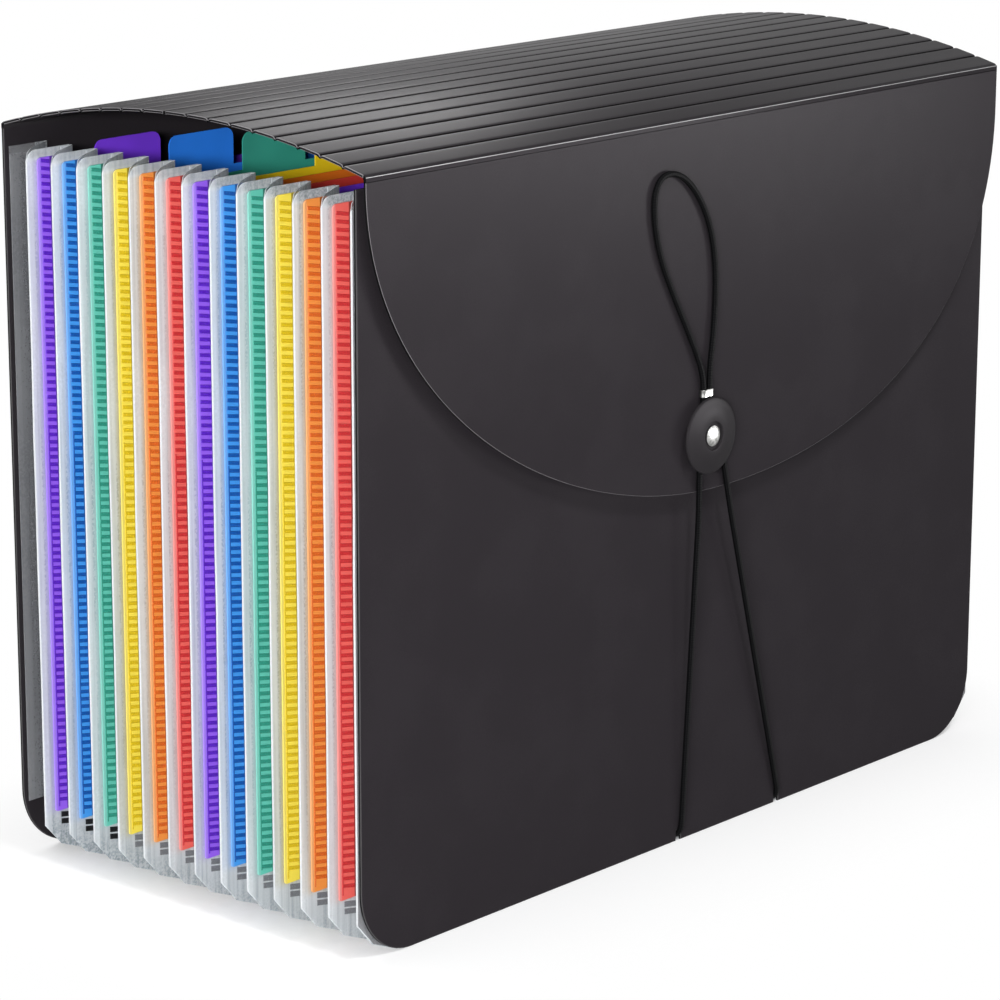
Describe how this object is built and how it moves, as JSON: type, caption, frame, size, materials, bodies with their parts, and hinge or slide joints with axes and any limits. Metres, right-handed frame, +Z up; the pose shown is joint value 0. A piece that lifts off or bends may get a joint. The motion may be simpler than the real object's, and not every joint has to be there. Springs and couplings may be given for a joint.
{
  "type": "accordion file folder",
  "caption": "Expanding file folder with coloured dividers between translucent folded gussets, a ribbed arched lid and a rounded flap held by an elastic cord on a button.",
  "frame": {"origin": "on the surface it stands on, under the middle of the whole object without its cord", "axes": "+X along the cover's width, +Y from the front cover to the back cover, +Z up"},
  "size_m": [0.3314, 0.1668, 0.2607],
  "materials": {
    "black_sheet": "fine-grained satin polypropylene",
    "frosted_film": "frosted translucent film",
    "button_black": "satin moulded disc",
    "bright_metal": "polished nickel",
    "elastic_black": "braided elastic",
    "divider_purple": "satin translucent sheet",
    "divider_blue": "satin translucent sheet",
    "divider_green": "satin translucent sheet",
    "divider_yellow": "satin translucent sheet",
    "divider_orange": "satin translucent sheet",
    "divider_red": "satin translucent sheet"
  },
  "bodies": {
    "back": {"back_cover": "black_sheet", "gusset_01": "frosted_film", "gusset_02": "frosted_film", "gusset_03": "frosted_film", "gusset_04": "frosted_film", "gusset_05": "frosted_film", "gusset_06": "frosted_film", "gusset_07": "frosted_film", "gusset_08": "frosted_film", "gusset_09": "frosted_film", "gusset_10": "frosted_film", "gusset_11": "frosted_film", "gusset_12": "frosted_film", "gusset_13": "frosted_film"},
    "front": {"front_cover": "black_sheet", "elastic_cord": "elastic_black", "cord_crimp": "bright_metal"},
    "divider_01": {"divider_01": "divider_purple"},
    "divider_02": {"divider_02": "divider_blue"},
    "divider_03": {"divider_03": "divider_green"},
    "divider_04": {"divider_04": "divider_yellow"},
    "divider_05": {"divider_05": "divider_orange"},
    "divider_06": {"divider_06": "divider_red"},
    "divider_07": {"divider_07": "divider_purple"},
    "divider_08": {"divider_08": "divider_blue"},
    "divider_09": {"divider_09": "divider_green"},
    "divider_10": {"divider_10": "divider_yellow"},
    "divider_11": {"divider_11": "divider_orange"},
    "divider_12": {"divider_12": "divider_red"},
    "lid_rear": {"lid_strip_01": "black_sheet", "lid_strip_02": "black_sheet", "lid_strip_03": "black_sheet", "lid_strip_04": "black_sheet", "lid_strip_05": "black_sheet", "lid_strip_06": "black_sheet", "lid_strip_07": "black_sheet", "lid_strip_08": "black_sheet"},
    "lid_front": {"lid_strip_09": "black_sheet", "lid_strip_10": "black_sheet", "lid_strip_11": "black_sheet", "lid_strip_12": "black_sheet", "lid_strip_13": "black_sheet", "lid_strip_14": "black_sheet", "lid_strip_15": "black_sheet", "lid_strip_16": "black_sheet", "lid_strip_17": "black_sheet"},
    "flap": {"flap": "black_sheet", "button_rivet": "bright_metal", "rivet_washer": "bright_metal"},
    "button": {"button_disc": "button_black"}
  },
  "joints": [
    {"name": "expand", "type": "slide", "parent": "back", "child": "front", "axis": [0, -1, 0], "range_m": [-0.1166, 0], "deforming": ["gusset_01", "gusset_02", "gusset_03", "gusset_04", "gusset_05", "gusset_06", "gusset_07", "gusset_08", "gusset_09", "gusset_10", "gusset_11", "gusset_12", "gusset_13", "elastic_cord", "cord_crimp"]},
    {"name": "divider_01_slide", "type": "slide", "parent": "back", "child": "divider_01", "axis": [0, -1, 0], "range_m": [-0.00897, 0]},
    {"name": "divider_02_slide", "type": "slide", "parent": "back", "child": "divider_02", "axis": [0, -1, 0], "range_m": [-0.01794, 0]},
    {"name": "divider_03_slide", "type": "slide", "parent": "back", "child": "divider_03", "axis": [0, -1, 0], "range_m": [-0.02691, 0]},
    {"name": "divider_04_slide", "type": "slide", "parent": "back", "child": "divider_04", "axis": [0, -1, 0], "range_m": [-0.03588, 0]},
    {"name": "divider_05_slide", "type": "slide", "parent": "back", "child": "divider_05", "axis": [0, -1, 0], "range_m": [-0.04485, 0]},
    {"name": "divider_06_slide", "type": "slide", "parent": "back", "child": "divider_06", "axis": [0, -1, 0], "range_m": [-0.05382, 0]},
    {"name": "divider_07_slide", "type": "slide", "parent": "back", "child": "divider_07", "axis": [0, -1, 0], "range_m": [-0.06279, 0]},
    {"name": "divider_08_slide", "type": "slide", "parent": "back", "child": "divider_08", "axis": [0, -1, 0], "range_m": [-0.07175, 0]},
    {"name": "divider_09_slide", "type": "slide", "parent": "back", "child": "divider_09", "axis": [0, -1, 0], "range_m": [-0.08072, 0]},
    {"name": "divider_10_slide", "type": "slide", "parent": "back", "child": "divider_10", "axis": [0, -1, 0], "range_m": [-0.08969, 0]},
    {"name": "divider_11_slide", "type": "slide", "parent": "back", "child": "divider_11", "axis": [0, -1, 0], "range_m": [-0.09866, 0]},
    {"name": "divider_12_slide", "type": "slide", "parent": "back", "child": "divider_12", "axis": [0, -1, 0], "range_m": [-0.10763, 0]},
    {"name": "lid_open", "type": "hinge", "parent": "back", "child": "lid_rear", "pos_m": [0, 0.08345, 0.249], "axis": [-1, 0, 0], "range_deg": [0, 180], "deforming": ["elastic_cord", "cord_crimp"]},
    {"name": "lid_flatten", "type": "hinge", "parent": "lid_rear", "child": "lid_front", "pos_m": [0, 0.00737, 0.26016], "axis": [-1, 0, 0], "range_deg": [0, 32], "deforming": ["elastic_cord", "cord_crimp"]},
    {"name": "flap_lift", "type": "hinge", "parent": "lid_front", "child": "flap", "pos_m": [0, -0.07835, 0.249], "axis": [-1, 0, 0], "range_deg": [0, 170], "deforming": ["elastic_cord", "cord_crimp"]},
    {"name": "button_turn", "type": "hinge", "parent": "flap", "child": "button", "pos_m": [-0.002, -0.07835, 0.1426], "axis": [0, -1, 0], "continuous": true}
  ],
  "couplings": [
    {"joint": "divider_01_slide", "follows": "expand", "ratio": 0.076923},
    {"joint": "divider_02_slide", "follows": "expand", "ratio": 0.15385},
    {"joint": "divider_03_slide", "follows": "expand", "ratio": 0.23077},
    {"joint": "divider_04_slide", "follows": "expand", "ratio": 0.30769},
    {"joint": "divider_05_slide", "follows": "expand", "ratio": 0.38462},
    {"joint": "divider_06_slide", "follows": "expand", "ratio": 0.46154},
    {"joint": "divider_07_slide", "follows": "expand", "ratio": 0.53846},
    {"joint": "divider_08_slide", "follows": "expand", "ratio": 0.61538},
    {"joint": "divider_09_slide", "follows": "expand", "ratio": 0.69231},
    {"joint": "divider_10_slide", "follows": "expand", "ratio": 0.76923},
    {"joint": "divider_11_slide", "follows": "expand", "ratio": 0.84615},
    {"joint": "divider_12_slide", "follows": "expand", "ratio": 0.92308}
  ]
}
